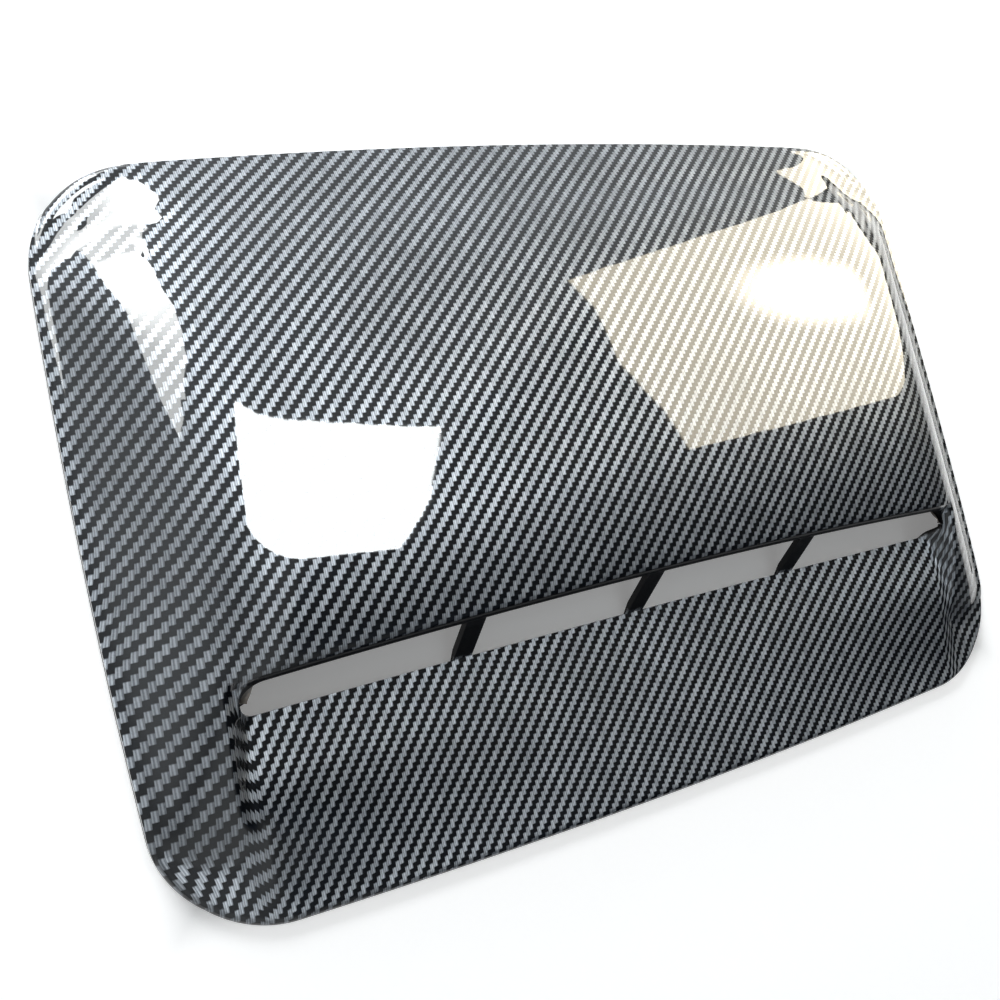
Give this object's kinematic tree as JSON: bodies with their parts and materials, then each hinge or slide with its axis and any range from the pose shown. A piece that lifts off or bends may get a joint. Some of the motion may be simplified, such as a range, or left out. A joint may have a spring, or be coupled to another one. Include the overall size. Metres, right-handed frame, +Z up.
{
  "type": "bonnet scoop",
  "caption": "Wide moulded bonnet scoop with a row of air openings above a sunken ramp, in a gloss woven-look finish.",
  "frame": {"origin": "under the middle of the plan, on the plane of the rim's flat underside", "axes": "+X across the car, to the right as seen from the front; -Y the way the openings face; +Z up"},
  "size_m": [0.43, 0.29, 0.036],
  "materials": {
    "printed_gloss_plastic": "gloss"
  },
  "bodies": {
    "root": {"scoop": "printed_gloss_plastic"}
  },
  "joints": []
}
